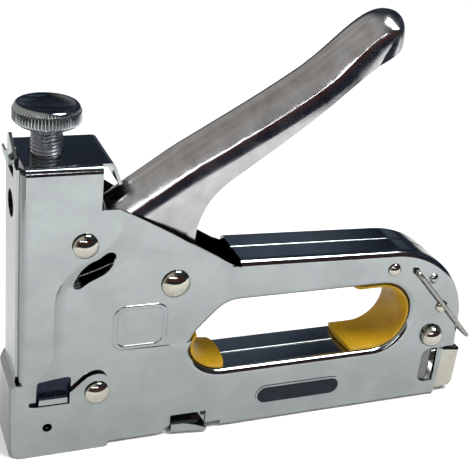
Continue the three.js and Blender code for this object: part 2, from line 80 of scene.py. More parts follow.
def mount_point(name):
    return Vector(named(frame["record"]["mounts"], name)["pos_m"]) / MM


HOUSING_LOW, HOUSING_HIGH = corners("left_housing")
CAP_LOW, CAP_HIGH = corners("top_cap")
PLATE_LOW, PLATE_HIGH = corners("front_plate")
SHOE_LOW, SHOE_HIGH = corners("nose_shoe")
KNOB_LOW, KNOB_HIGH = corners("tension_knob")
STUD_LOW, STUD_HIGH = corners("tension_stud")
LEVER_HIGH = corners("lever")[1]
LINER_LOW, LINER_HIGH = corners("front_liner")
REAR_LINER_HIGH = corners("rear_liner")[1]
MAGAZINE_LOW, MAGAZINE_HIGH = corners("magazine_channel")
REAR_CAP_HIGH = corners("pusher_cap")[1]
LATCH_LOW = corners("left_latch")[0]
BAIL_HIGH = corners("wire_bail")[1]

BODY_HALF = -mount_point("left_side").y
HEAD_HALF = -HOUSING_LOW.y
HEAD_TOP = HOUSING_HIGH.z
FRONT = HOUSING_LOW.x + 1.6  # the flanges lie back behind the front plate
BASE = HOUSING_LOW.z
PIVOT = joint_point("lever_hinge")
BAIL_PIVOT = joint_point("bail_swing")
UPPER_RIVET = middle("upper_rivet")
LOWER_RIVET = middle("lower_rivet")
GRIP_RIVETS = [middle("grip_rivet_front"), middle("grip_rivet_rear")]
SCREW_X = middle("tension_stud").x
STUD_R = (STUD_HIGH.x - STUD_LOW.x) / 2
KNOB_R = (KNOB_HIGH.x - KNOB_LOW.x) / 2
LEVER_HALF = LEVER_HIGH.y
CAP_REAR = 27.4  # rear edge of the cap's sides, ahead of its flap

SHEET = 1.0  # thickness of the pressed sheet
GAP = 0.3  # clearance between pieces
BEND = 2.5  # outer radius of the body's bends
HEAD_BEND = 3.0  # outer radius of the bend at the head's front
SEAM = 0.15  # half the slit between the two housings
SEAM_ROLL = 0.55  # how far the flanges roll in at that slit
PIVOT_HOLE_R = 3.0 + GAP
UPPER_HOLE_R = 2.1
LOWER_HOLE_R = 2.2
GRIP_HOLE_R = 1.8
BAIL_HOLE_R = 1.4
BUTTON = Vector((163.8, 0.0, 29.4))  # centre of the release button
BUTTON_R = 4.5
DIMPLE = Vector((12.1, 0.0, 12.0))  # centre of the locating hole at the nose
DIMPLE_R = 1.7
PLATE_FRONT = FRONT - SHEET - 0.05  # front face of the front plate
NOTCH_FRONT = 57.6  # ends of the notch for the magazine's lug
NOTCH_REAR = 71.4
BAR = (9.0, 18.9)  # ends of the bar in the nose window


# ---- outlines ----
class Outline:
    """A closed outline in two coordinates, drawn with lines, Bezier curves and arcs."""

    def __init__(self, start):
        self.points = [Vector(start)]

    def line(self, *ends):
        self.points += [Vector(end) for end in ends]
        return self

    def curve(self, first, second, end, steps=14):
        knots = [self.points[-1], Vector(first), Vector(second), Vector(end)]
        self.points += geometry.interpolate_bezier(*(knot.to_3d() for knot in knots), steps + 1)[1:]
        self.points = [point.to_2d() for point in self.points]
        return self

    def arc(self, centre, radius, start, stop, steps=16, squash=1.0):
        """An arc in degrees; squash is the second radius over the first."""
        for i in range(steps + 1):
            angle = math.radians(start + (stop - start) * i / steps)
            turn = Vector((math.cos(angle), squash * math.sin(angle)))
            self.points.append(Vector(centre) + radius * turn)
        return self


def tidy_loop(points, clockwise=False):
    """The outline without repeated points, turned the asked way round."""
    kept = []
    for point in map(Vector, points):
        if not kept or (point - kept[-1]).length > 1e-4:
            kept.append(point)
    if (kept[0] - kept[-1]).length < 1e-4:
        kept.pop()
    area = sum(a.cross(b) for a, b in zip(kept, kept[1:] + kept[:1]))
    if (area < 0) != clockwise:
        kept.reverse()
    return kept


def inset_loop(points, distance, scales=None):
    """Each point moved to the left of the outline's direction, by distance times its own scale."""
    moved = []
    count = len(points)
    for i, point in enumerate(points):
        before = (point - points[i - 1]).normalized()
        after = (points[(i + 1) % count] - point).normalized()
        normal_before = Vector((-before.y, before.x))
        normal_after = Vector((-after.y, after.x))
        bisector = (normal_before + normal_after).normalized()
        reach = distance / max(bisector.dot(normal_before), 0.3)
        moved.append(point + bisector * reach * (scales[i] if scales else 1.0))
    return moved


# ---- solids ----
def add_object(name, data):
    obj = bpy.data.objects.new(name, data)
    bpy.context.scene.collection.objects.link(obj)
    return obj


def solid(points, faces):
    mesh = bpy.data.meshes.new("solid")
    mesh.from_pydata([tuple(point) for point in points], [], faces)
    edit = bmesh.new()
    edit.from_mesh(mesh)
    bmesh.ops.triangulate(edit, faces=[face for face in edit.faces if len(face.verts) > 4])
    bmesh.ops.recalc_face_normals(edit, faces=edit.faces)
    edit.to_mesh(mesh)
    edit.free()
    return add_object("solid", mesh)


def loft(rings, closed=False):
    """A solid through rings of as many points each, capped at its ends unless it is closed."""
    count = len(rings[0])
    points = [point for ring in rings for point in ring]
    faces = []
    spans = len(rings) if closed else len(rings) - 1
    for i in range(spans):
        j = (i + 1) % len(rings)
        for k in range(count):
            n = (k + 1) % count
            faces.append((i * count + k, i * count + n, j * count + n, j * count + k))
    if not closed:
        last = (len(rings) - 1) * count
        faces.append(tuple(range(count)))
        faces.append(tuple(range(last, last + count)))
    return solid(points, faces)


def stack(loops, levels):
    """A solid whose cross-sections are the loops, inset at each level. A level is (inset, y)."""
    points = []
    faces = []
    caps = [[], []]
    for loop in loops:
        start = len(points)
        count = len(loop)
        for distance, y in levels:
            points += [Vector((p.x, y, p.y)) for p in inset_loop(loop, distance)]
        for i in range(len(levels) - 1):
            for k in range(count):
                a = start + i * count
                n = (k + 1) % count
                faces.append((a + k, a + n, a + count + n, a + count + k))
        caps[0].append(range(start, start + count))
        top = start + (len(levels) - 1) * count
        caps[1].append(range(top, top + count))
    for cap in caps:
        order = [index for loop in cap for index in loop]
        flat = [[points[index] for index in loop] for loop in cap]
        faces += [tuple(order[k] for k in face) for face in geometry.tessellate_polygon(flat)]
    return solid(points, faces)


def layers(loop, levels, scales):
    """A solid through one side outline, inset point by point at each level. A level is (inset, y)."""
    rings = []
    for distance, y in levels:
        rings.append([Vector((p.x, y, p.y)) for p in inset_loop(loop, distance, scales)])
    return loft(rings)


def bend_levels(half, radius, inset):
    """Levels of a rim that rounds back from the flat face at -half."""
    steps = 10
    levels = []
    for i in range(steps + 1):
        angle = math.pi / 2 * i / steps
        levels.append((radius * (1 - math.sin(angle)) + inset, -half + radius * (1 - math.cos(angle))))
    return levels


def dish(loops, half, radius, inset=0.0, seam=0.0):
    """A pressed dish, open far behind. A positive inset gives the inside of the same dish.
    With a seam, the flange rolls in by that much where it meets its twin at y = 0."""
    levels = bend_levels(half, radius, inset)
    for i in range(6 if seam else 0):
        angle = math.pi / 2 * i / 5
        levels.append((inset + seam * (1 - math.cos(angle)), -SEAM - seam * (1.15 - math.sin(angle))))
    return stack(loops, levels + [(inset + seam, FAR)])


def plate(points, y0=-FAR, y1=FAR):
    """A side outline (x, z) made solid from y0 to y1."""
    return stack([tidy_loop(points)], [(0.0, y0), (0.0, y1)])


def section(points, x0, x1):
    """A front outline (y, z) made solid from x0 to x1."""
    loop = tidy_loop(points)
    return loft([[Vector((x, p.x, p.y)) for p in loop] for x in (x0, x1)])


def plan(points, z0, z1):
    """An outline seen from above (x, y) made solid from z0 to z1."""
    loop = tidy_loop(points)
    return loft([[Vector((p.x, p.y, z)) for p in loop] for z in (z0, z1)])


def block(x0, x1, y0, y1, z0, z1):
    return section([(y0, z0), (y1, z0), (y1, z1), (y0, z1)], x0, x1)


def around(axis, angle):
    """A unit vector square to the axis, turned about it by the angle."""
    first = Vector((axis.z, axis.x, axis.y))
    return first * math.cos(angle) + axis.cross(first) * math.sin(angle)


def lathe(profile, centre, axis, segments):
    """A turned solid from a list of (radius, distance along the axis)."""
    rings = []
    for k in range(segments):
        out = around(axis, 2 * math.pi * k / segments)
        rings.append([centre + out * r + axis * along for r, along in profile])
    return loft(rings, closed=True)


def rod(centre, axis, radius, start, stop, segments):
    return lathe([(0.001, start), (radius, start), (radius, stop), (0.001, stop)], centre, axis, segments)


ALONG_X = Vector((1, 0, 0))
ALONG_Y = Vector((0, 1, 0))
ALONG_Z = Vector((0, 0, 1))


def pin(centre, radius):
    """A round cutter right across the tool."""
    return rod(centre, ALONG_Y, radius, -FAR, FAR, 40)


def bake(obj):
    """The object's mesh with its modifiers applied."""
    graph = bpy.context.evaluated_depsgraph_get()
    mesh = bpy.data.meshes.new_from_object(obj.evaluated_get(graph))
    obj.modifiers.clear()
    obj.data = mesh
    return obj


def combine(target, operation, tools):
    for tool in tools:
        modifier = target.modifiers.new("combine", "BOOLEAN")
        modifier.operation = operation
        modifier.solver = "MANIFOLD"
        modifier.object = tool
    bake(target)
    for tool in tools:
        bpy.data.objects.remove(tool)
    return target


def join(target, *tools):
    return combine(target, "UNION", tools)


def cut(target, *tools):
    return combine(target, "DIFFERENCE", tools)


def common(target, *tools):
    return combine(target, "INTERSECT", tools)


def tube(path, radius, sides):
    """A round wire along a list of points, with no twist."""
    rings = []
    normal = None
    for i, point in enumerate(path):
        ahead = path[min(i + 1, len(path) - 1)]
        behind = path[max(i - 1, 0)]
        direction = (ahead - behind).normalized()
        if normal is None:
            normal = direction.orthogonal().normalized()
        normal = (normal - direction * normal.dot(direction)).normalized()
        side = direction.cross(normal)
        ring = []
        for k in range(sides):
            angle = 2 * math.pi * k / sides
            ring.append(point + radius * (normal * math.cos(angle) + side * math.sin(angle)))
        rings.append(ring)
    return loft(rings)


def mirror_y(obj):
    copy = obj.copy()
    copy.data = obj.data.copy()
    bpy.context.scene.collection.objects.link(copy)
    copy.data.transform(Matrix.Scale(-1, 4, ALONG_Y))
    copy.data.flip_normals()
    return copy


# ---- finishing ----
def shade(obj, angle):
    obj.data.shade_smooth()
    obj.data.set_sharp_from_angle(angle=math.radians(angle))
    weighted = obj.modifiers.new("normals", "WEIGHTED_NORMAL")
    weighted.keep_sharp = True
    weighted.weight = 80


def soften(obj, width, angle):
    """Round the hard edges a little, as a press or mould leaves them."""
    edit = bmesh.new()
    edit.from_mesh(obj.data)
    bmesh.ops.remove_doubles(edit, verts=edit.verts, dist=0.0005)
    bmesh.ops.dissolve_degenerate(edit, edges=edit.edges, dist=0.0005)
    bmesh.ops.dissolve_limit(edit, verts=edit.verts, edges=edit.edges, angle_limit=math.radians(0.05))
    edit.to_mesh(obj.data)
    edit.free()
    bevel = obj.modifiers.new("edges", "BEVEL")
    bevel.width = width
    bevel.segments = 2
    bevel.limit_method = "ANGLE"
    bevel.angle_limit = math.radians(angle)
    bevel.miter_outer = "MITER_SHARP"
    bake(obj)


def coat(obj, material):
    obj.data.materials.clear()
    obj.data.materials.append(material)


def finish_piece(obj, name, body, material, nodes, edge=0.0, angle=35):
    """Name, paint and place a drawn solid, and let it ride on its body in place of CAD nodes."""
    obj.name = name
    obj.data.name = name
    if edge:
        soften(obj, edge, angle)
    obj.data.transform(Matrix.Scale(MM, 4))
    coat(obj, material)
    shade(obj, angle)
    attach(obj, body)
    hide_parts(*nodes)
    return obj


# ---- side outlines ----
HOLE_FLOOR = LINER_LOW.z - GAP
HOLE_CEILING = REAR_LINER_HIGH.z + GAP
HOLE_R = (HOLE_CEILING - HOLE_FLOOR) / 2
HOLE_REAR = REAR_LINER_HIGH.x + GAP - HOLE_R  # centre of the hole's rear arc
HOLE_FRONT = LINER_LOW.x - GAP
GRIP_FRONT = 79.0
GRIP_TOP = 70.4
GRIP_REAR = Vector((140.0, 32.0))  # centre of the quarter ellipse at the grip's rear end
GRIP_REAR_UP = 36.4
GRIP_REAR_ALONG = 36.7
LOWER_REAR = 171.0  # rear edge of the body below the grip
STEP_TOP = 23.0  # height at which that edge steps back to the grip's end
EMBOSS = Vector((43.7, 48.3))  # centre of the raised frame
PILL = Vector((108.5, 11.8))  # centre of the plain pill emblem
PILL_HALF = 17.0
PILL_R = 3.4


def hand_hole():
    hole = Outline((77, HOLE_FLOOR))
    hole.curve((68.5, HOLE_FLOOR), (62.6, 31.5), (HOLE_FRONT, 37.2))
    hole.curve((HOLE_FRONT + 0.3, 42), (67, 45.2), (70, 48.5))
    hole.curve((73.5, 52.2), (75.5, HOLE_CEILING), (81, HOLE_CEILING))
    hole.arc((HOLE_REAR, (HOLE_FLOOR + HOLE_CEILING) / 2), HOLE_R, 90, -90, 40)
    return tidy_loop(hole.points, clockwise=True)


def body_outline():
    """The side, run past the open base and the open top so that no bend forms there."""
    below = BASE - 13
    above = HEAD_TOP + 20
    front_of_grip = GRIP_FRONT - 1.5
    side = Outline((FRONT, below))
    side.line((HOUSING_HIGH.x, below), (HOUSING_HIGH.x, STEP_TOP))
    side.arc(GRIP_REAR, GRIP_REAR_ALONG, 0, 90, 48, GRIP_REAR_UP / GRIP_REAR_ALONG)
    side.line((GRIP_FRONT, GRIP_TOP), (front_of_grip, GRIP_TOP), (front_of_grip, above), (FRONT, above))
    return tidy_loop(side.points)


def head_outline():
    head = Outline((-20, 32))
    head.line((4, 32))
    head.curve((9.5, 33), (13.3, 38.5), (13.3, 45))
    head.line((13.3, 60))
    head.curve((13.3, 70), (18.5, 74), (25, 78.2))
    head.curve((30.5, 81.6), (34, 84), (34, 91))
    head.line((34, 140), (-20, 140))
    return tidy_loop(head.points)


def head_pad(half, front_radius, inset):
    """The raised head: a flat pad with a crisp edge that falls to the body's face, slowly at its foot."""
    slope = 5.5
    drop = HEAD_HALF - BODY_HALF + 0.12
    loop = head_outline()
    foot = [min(1.0, max(0.0, (45 - point.y) / 12)) for point in loop]
    brow = [min(1.0, max(0.0, (point.y - 68) / 10)) for point in loop]
    spread = [1.0 + 1.6 * low + 1.4 * high for low, high in zip(foot, brow)]
    levels = [(-slope, FAR)]
    for i in range(9):
        levels.append((-slope * (1 - i / 8), -half + drop * (1 - (i / 8) ** 2)))
    pad = layers(loop, levels, spread)
    front_block = tidy_loop([(FRONT, -12), (90, -12), (90, 135), (FRONT, 135)])
    return common(pad, dish([front_block], half, front_radius, inset))


def shallow_step():
    """The faint raised band in front of the hand hole."""
    band = tidy_loop([(31, 33.2), (59.5, 33.2), (61.5, 38.9), (31, 38.9)])
    return stack([band], [(-1.4, -BODY_HALF + 0.3), (0.0, -BODY_HALF - 0.3)])


def embossed_frame():
    """A plain raised frame with rounded corners."""
    def rounded(half_long, half_high, radius):
        frame_line = Outline((half_long, 0))
        for sx, sz, start in ((1, 1, 0), (-1, 1, 90), (-1, -1, 180), (1, -1, 270)):
            corner = (sx * (half_long - radius), sz * (half_high - radius))
            frame_line.arc(corner, radius, start, start + 90, 10)
        return [point + EMBOSS for point in tidy_loop(frame_line.points)]
    outer = rounded(9.6, 8.6, 4.2)
    inner = list(reversed(rounded(8.2, 7.2, 3.0)))
    levels = [(-0.35, -BODY_HALF + 0.3), (0.12, -BODY_HALF - 0.3), (0.3, -BODY_HALF - 0.4)]
    return stack([outer, inner], levels)


def pill(grow, y0, y1):
    shape = Outline(PILL + Vector((PILL_HALF, 0)))
    for side, start in ((1, -90), (-1, 90)):
        shape.arc(PILL + Vector((side * (PILL_HALF - PILL_R), 0)), PILL_R + grow, start, start + 180, 18)
    return plate(shape.points[1:], y0, y1)


def curved_slot():
    slot = Outline((31.5, 78.8))
    slot.curve((34.4, 78.4), (34.2, 75.4), (32, 72))
    slot.curve((29.5, 68.6), (26.4, 68.9), (23.6, 66.4))
    slot.curve((21.6, 64.6), (19, 65.2), (19.9, 68))
    slot.curve((21.2, 72.2), (23.4, 75.4), (26.6, 76.2))
    slot.curve((28.6, 76.8), (29.5, 79), (31.5, 78.8))
    return plate(slot.points)


def arch_slot():
    """The slit above the shoe's arch round the lower rivet."""
    arch = Outline((20.2, 23.6))
    arch.curve((21.6, 27.2), (22.6, 29.4), (25.2, 31.4))
    arch.curve((27.4, 33.0), (31.4, 32.4), (33.4, 28.6))
    arch.line((32.6, 28.0), (32.6, 23.6))
    return plate(arch.points)


def latch_window():
    """The D-shaped opening over the latch spring, closed at the rear by a thin strip."""
    low, high, left, right = 7.2, 22.8, 161.6, 169.2
    shape = Outline((right, low))
    shape.line((right - 0.8, high))
    shape.arc((left + 3.4, high - 3.4), 3.4, 90, 180, 12)
    shape.arc((left + 3.6, low + 3.6), 3.6, 180, 270, 12)
    return plate(shape.points)


def open_top():
    return plate([(CAP_REAR, 135), (CAP_REAR, 94.5), (33.4, 94.5), (75.6, 69.3),
                  (GRIP_FRONT, 67.8), (GRIP_FRONT, 135)])


def window():
    low, high, left, right = 19.6, 31.3, 8.2, 20.2
    shape = Outline((left, low))
    shape.line((right, low))
    shape.arc((right - 1.2, high - 1.2), 1.2, 0, 90, 6)
    shape.arc((left + 1.2, high - 1.2), 1.2, 90, 180, 6)
    return plate(shape.points)


# ---- housings ----
def housing():
    """The left housing: body, raised head and details pressed into one sheet, then pierced."""
    body = [body_outline(), hand_hole()]
    outer = join(dish(body, BODY_HALF, BEND, seam=SEAM_ROLL), head_pad(HEAD_HALF, HEAD_BEND, 0.0),
                 shallow_step(), embossed_frame(), pill(0.7, -BODY_HALF - 0.28, -BODY_HALF + 0.4))
    inner = join(dish(body, BODY_HALF - SHEET, BEND - SHEET, SHEET),
                 head_pad(HEAD_HALF - SHEET, HEAD_BEND - SHEET, SHEET))
    shell = cut(
        outer, inner,
        block(-30, 200, -SEAM, 80, -30, 160),
        block(-30, 200, -FAR, FAR, -30, BASE),
        block(-30, CAP_REAR + 1, -FAR, FAR, HEAD_TOP, 160),
        open_top(),
        block(-5, 6, -5.8, 5, -30, 160),
        block(LOWER_REAR, 200, -FAR, FAR, -30, STEP_TOP),
        plate([(54.0, -5), (54.0, BASE), (57.7, 4.4), (57.7, -5)]),
        latch_window(), curved_slot(), arch_slot(), window(),
        block(NOTCH_FRONT, NOTCH_REAR, -FAR, FAR, -5, 8.4),
        block(NOTCH_REAR - 0.4, 77.5, -FAR, FAR, -5, 3.0),
        pin(DIMPLE, DIMPLE_R),
        pin(PIVOT, PIVOT_HOLE_R),
        pin(UPPER_RIVET, UPPER_HOLE_R),
        pin(LOWER_RIVET, LOWER_HOLE_R),
        *(pin(centre, GRIP_HOLE_R) for centre in GRIP_RIVETS),
        pin(BAIL_PIVOT, BAIL_HOLE_R),
        pin(BUTTON, BUTTON_R + GAP),
        pill(0.0, -FAR, -BODY_HALF - 0.02))
    bump = [(0.001, 1.4), (0.7, 1.3), (1.4, 0.95), (1.9, 0.5), (2.2, -0.2), (0.001, -0.2)]
    stop = lathe(bump, Vector((159.5, -BODY_HALF, 55.2)), -ALONG_Y, 28)
    roll = Vector((LOWER_REAR - 0.9, 0.8 - BODY_HALF, 0))
    return join(shell, stop, rod(roll, ALONG_Z, 1.25, BASE, STEP_TOP - 0.6, 24))


# ---- head ----
def channel(half, top, bottom, radius, steps=10):
    """Section of a sheet folded into a channel with two rounded edges, open at the bottom."""
    shape = Outline((-half, bottom))
    shape.line((-half + SHEET, bottom))
    shape.arc((-half + radius, top - radius), radius - SHEET, 180, 90, steps)
    shape.arc((half - radius, top - radius), radius - SHEET, 90, 0, steps)
    shape.line((half - SHEET, bottom), (half, bottom))
    shape.arc((half - radius, top - radius), radius, 0, 90, steps)
    shape.arc((-half + radius, top - radius), radius, 90, 180, steps)
    return shape.points


def top_cap():
    """The hood over the head, with side flaps to the upper rivet and a flap at its rear."""
    top = CAP_HIGH.z
    side = Outline((CAP_LOW.x, top + 5))
    side.line((CAP_LOW.x, 100), (5.6, 94.4), (10.4, 87))
    side.curve((12.6, 82.6), (13.8, CAP_LOW.z), (18.5, CAP_LOW.z))
    side.curve((23, CAP_LOW.z - 0.2), (25.6, 79.2), (27.2, 84))
    side.line((CAP_REAR, top + 5))
    folded = section(channel(CAP_HIGH.y, top, 60, 2.6), CAP_LOW.x, CAP_REAR)
    hood = common(folded, plate(side.points))
    flap = Outline((CAP_REAR - 3, top))
    flap.line((29.6, top))
    flap.curve((31.6, top), (32.0, top - 1.4), (32.4, top - 2.8))
    flap.line((34.0, 103.0), (33.0, 102.7), (31.4, top - 3.2))
    flap.curve((31.1, top - 1.9), (30.8, top - SHEET), (29.6, top - SHEET))
    flap.line((CAP_REAR - 3, top - SHEET))
    return cut(join(hood, plate(flap.points, -12.4, 12.4)),
               rod(Vector((SCREW_X, 0, 0)), ALONG_Z, STUD_R + 0.4, 100, 120, 48),
               pin(UPPER_RIVET, UPPER_HOLE_R))


def front_plate():
    """The plate in front of the flanges, with an ear above the cap and a tongue bent forward."""
    front = PLATE_FRONT
    wide = PLATE_HIGH.y
    ear = PLATE_HIGH.z
    face = Outline((-wide, PLATE_LOW.z))
    face.line((wide, PLATE_LOW.z), (wide, 107.4), (8.4, 108), (6.6, 108), (6.4, ear - 1.4))
    face.arc((4.2, ear - 1.4), 2.2, 0, 100, 8)
    face.curve((0.5, ear - 1.2), (-2.0, 111.6), (-4.6, 111.2))
    face.line((-5.8, 110.4), (-6.2, 108), (-wide, 108))
    tongue = Outline((front + 0.4, 106.6))
    tongue.line((front + 0.4, 108.2), (front - 0.1, 108.4))
    tongue.curve((front - 0.7, 108.7), (front - 1.0, 109.3), (front - 1.1, 110.0), 6)
    tongue.line((front - 1.4, 111.6))
    tongue.curve((front - 1.6, 112.4), (front - 2.3, 112.3), (front - 2.4, 111.5), 6)
    tongue.line((front - 2.1, 109.6))
    tongue.curve((front - 1.9, 107.9), (front - 1.2, 107.0), (front - 0.1, 106.8), 6)
    opened = cut(section(face.points, front, front + SHEET), block(-5, 9, -4.4, 4.4, 103.5, 106.9),
                 rod(Vector((0, 0, 93)), ALONG_X, 4.6, -5, 9, 40))
    return join(opened, plate(tongue.points, -2.2, 3.0))


def nose_shoe():
    """The sheet folded round the nose, with the bar that shows in the window."""
    half = SHOE_HIGH.y
    front = SHOE_LOW.x
    rear = SHOE_HIGH.x
    fold = [(-p.y, p.x) for p in channel(half, -front, -rear, 3.6, 12)]
    side = Outline((-3, 0))
    side.line((rear - 1.2, 0))
    side.arc((rear - 1.2, 1.2), 1.2, 270, 360, 6)
    side.line((rear, 24))
    side.curve((rear, 28), (33, SHOE_HIGH.z), (LOWER_RIVET.x, SHOE_HIGH.z))
    side.curve((25, SHOE_HIGH.z), (23, 28), (19.6, 25.5))
    side.line((19.6, 21), (5.6, 21), (5.6, 30.5), (PLATE_FRONT, 30.5), (front, 28.3), (-3, 28.3))
    packing = block(front + SHEET - 0.1, PLATE_FRONT, 1.2 - half, half - 1.2, PLATE_LOW.z, 40)
    sheet = cut(common(join(plan(fold, 0, 60), packing), plate(side.points)),
                pin(LOWER_RIVET, LOWER_HOLE_R), pin(DIMPLE, DIMPLE_R))
    bar = [(0.2, 21.5), (0.2, 23.6), (0.7, 24.2), (4.6, 24.2), (4.6, 23.2),
           (1.2, 23.2), (1.2, 20.0), (0.9, 20.0), (0.9, 21.5)]
    for sign in (-1, 1):
        shape = [(sign * (half - depth), z) for depth, z in bar]
        sheet = join(sheet, section(shape, *BAR))
    return join(sheet, block(*BAR, 0.6 - half, 1.6 - half, 18.0, 20.6),
                block(*BAR, half - 1.6, half - 0.6, 18.0, 20.6))


def knob():
    """A turned head with a knurled edge and a dished top."""
    teeth = 62
    per_tooth = 6
    low, high = KNOB_LOW.z, KNOB_HIGH.z
    edge = [(7.4, low), (KNOB_R - 1.0, low + 0.2), (KNOB_R - 0.5, low + 0.7)]
    knurl = [(KNOB_R - 0.05, low + 1.2), (KNOB_R, low + 1.5),
             (KNOB_R, high - 2.2), (KNOB_R - 0.05, high - 1.9)]
    crown = [(KNOB_R - 0.35, high - 1.3), (KNOB_R - 0.75, high - 0.5), (KNOB_R - 1.2, high - 0.1),
             (KNOB_R - 1.7, high), (KNOB_R - 2.2, high - 0.15), (KNOB_R - 3.0, high - 0.55),
             (KNOB_R - 6.0, high - 0.85), (0.001, high - 1.0)]
    profile = [(0.001, low), *edge, *knurl, *crown]
    knurled = range(1 + len(edge), 1 + len(edge) + len(knurl))
    rings = []
    for k in range(teeth * per_tooth):
        angle = 2 * math.pi * k / (teeth * per_tooth)
        groove = 0.62 * (0.5 - 0.5 * math.cos(2 * math.pi * k / per_tooth)) ** 1.4
        out = around(ALONG_Z, angle)
        ring = []
        for i, (r, z) in enumerate(profile):
            ring.append(Vector((SCREW_X, 0, z)) + out * (r - (groove if i in knurled else 0.0)))
        rings.append(ring)
    return loft(rings, closed=True)


def stud():
    """The tension screw, with a rounded thread."""
    pitch = 1.25
    depth = 0.55
    sides = 96
    per_turn = 16
    low, high = STUD_LOW.z, STUD_HIGH.z
    rows = int((high - low) / pitch * per_turn)
    rings = []
    for i in range(rows + 1):
        z = low + (high - low) * i / rows
        fade = min(1.0, (z - low) / pitch, (high - z) / pitch)
        ring = []
        for k in range(sides):
            turn = k / sides
            wave = 0.5 + 0.5 * math.cos(2 * math.pi * ((z - low) / pitch - turn))
            r = STUD_R - depth * (1 - fade * wave)
            angle = 2 * math.pi * turn
            ring.append(Vector((SCREW_X + r * math.cos(angle), r * math.sin(angle), z)))
        rings.append(ring)
    return loft(rings)


# ---- lever ----
BAND_HIGH = 4.8  # height of the leaning band under the lever's crease
BAND_LEAN = 18.0  # how far that band leans from upright at the crease, in degrees
CROWN_SLOPE = 61.0  # slope of the crown where it meets the crease
LEVER_END = Vector((130, 149))  # middle of the rounded end, where the section is shallower


def lever_outline():
    side = Outline((22.8, 49.1))
    side.line((57, 55.7))
    side.arc((PIVOT.x, PIVOT.z), 8.4, -72, 17, 14)
    side.line((62.2, 78.8))
    side.curve((63, 88), (65.5, 94), (72, 99.5))
    side.curve((84, 108.4), (96, 117), (107, 126.5))
    side.curve((113.5, 132.4), (120, 138.2), (127, 142.4))
    side.line((140, 150), (140, 170), (20, 170), (31, 93.6), (31.5, 88.5))
    side.line((43.5, 77), (43.5, 66.5), (20.9, 57.2))
    side.arc((22, 53.2), 4.2, 108, 281, 16)
    return plate(side.points)


def lever_hull(half, inset, profile):
    """The drawn sheet: its crest line and rounded end, seen from the side, with a crowned section."""
    crest = Outline((LEVER_HIGH.x, 20))
    crest.line((LEVER_HIGH.x, 142.5))
    crest.curve((LEVER_HIGH.x + 0.6, 151.4), (132.6, LEVER_HIGH.z), (124.5, LEVER_HIGH.z), 20)
    crest.curve((116, 155.4), (108, 144.5), (97, 136.4), 20)
    crest.curve((82, 126), (66, 117), (53.7, 109.4), 20)
    crest.line((5, 75.5), (5, 20))
    loop = tidy_loop(crest.points)
    scales = []
    for point in loop:
        away = (point - LEVER_END).length / 22 - 0.25
        scales.append(0.62 + 0.38 * min(1.0, max(0.0, away)))
    near = [(inset + distance, -half * share) for distance, share in profile]
    return layers(loop, near + [(distance, -y) for distance, y in reversed(near) if y < 0], scales)


def crown_profile():
    """Section of the lever from its lower cheek to its crest, as (inset, share of the half width).
    A roof-like crown ends in a crease, below it a band leans out to the cheek, and the cheek draws in."""
    steps = 16
    shoulder = 1.0
    band = [(BAND_HIGH, shoulder)]
    for i in range(steps):
        lean = math.radians(90 - BAND_LEAN * (i + 0.5) / steps)
        shoulder -= BAND_HIGH / steps / math.tan(lean) / LEVER_HALF
        band.append((BAND_HIGH * (1 - (i + 1) / steps), shoulder))
    crown = [(0.0, 0.0)]
    for i in range(steps):
        slope = math.radians(CROWN_SLOPE * ((i + 0.5) / steps) ** 0.6)
        drop = math.tan(slope) * shoulder * LEVER_HALF / steps
        crown.append((crown[-1][0] + drop, shoulder * (i + 1) / steps))
    depth = crown[-1][0]
    cheek = [(27.0, 0.80), (22.0, 0.88), (17.0, 0.955), (14.2, 0.992)]
    return cheek + [(depth + inset, share) for inset, share in band] + list(reversed(crown))[1:]


def lever():
    outer = common(lever_hull(LEVER_HALF, 0.0, crown_profile()), lever_outline())
    inner = lever_hull(LEVER_HALF - 1.1, 1.1, crown_profile())
    return cut(outer, inner, pin(PIVOT, PIVOT_HOLE_R))


# ---- rivets, wire, springs ----
def rivet(node):
    """A shaft with a domed head at each end, in the place of a CAD rivet."""
    lip = 0.25
    steps = 14
    low, high = corners(node)
    head_r = (high.x - low.x) / 2
    shaft_r = head_r * 0.42
    head_h = head_r * (0.4 if head_r > 3 else 0.42)
    face = high.y - head_h
    half = [(shaft_r, face), (head_r - 0.12, face), (head_r, face + 0.12), (head_r, face + lip)]
    rise = head_h - lip + 0.35
    ball_r = (head_r ** 2 + rise ** 2) / (2 * rise)
    edge = math.asin(head_r / ball_r)
    for i in range(1, steps + 1):
        angle = edge * (1 - i / steps)
        along = face + lip + rise - ball_r * (1 - math.cos(angle))
        half.append((max(ball_r * math.sin(angle), 0.001), along))
    profile = [(r, -along) for r, along in reversed(half)] + half
    return lathe(profile, middle(node), ALONG_Y, 56)


def bend_path(turns, radius):
    """Straight runs from turn to turn, with each one rounded."""
    steps = 10
    path = [turns[0]]
    for before, corner, after in zip(turns, turns[1:], turns[2:]):
        start = corner + (before - corner).normalized() * radius
        end = corner + (after - corner).normalized() * radius
        for i in range(steps + 1):
            t = i / steps
            path.append(start * (1 - t) ** 2 + corner * 2 * t * (1 - t) + end * t * t)
    path.append(turns[-1])
    return path


def bail():
    """The wire bent round the grip's rear end, its ends turned into the housings."""
    reach = Vector((180, 0, 28))
    wide = BAIL_HIGH.y - 1.0
    pivot = Vector((BAIL_PIVOT.x, 0, BAIL_PIVOT.z))
    out = ALONG_Y * wide
    path = bend_path([pivot - ALONG_Y * 9.4, pivot - out, reach - out, reach + out, pivot + out,
                      pivot + ALONG_Y * 9.4], 2.6)
    return tube(path, 0.85, 24)


def coil(centre, axis, radius, wire, length, turns):
    per_turn = 26
    steps = int(turns * per_turn)
    path = []
    for i in range(steps + 1):
        out = around(axis, 2 * math.pi * turns * i / steps)
        path.append(centre + out * radius + axis * (length * i / steps))
    return tube(path, wire, 12)


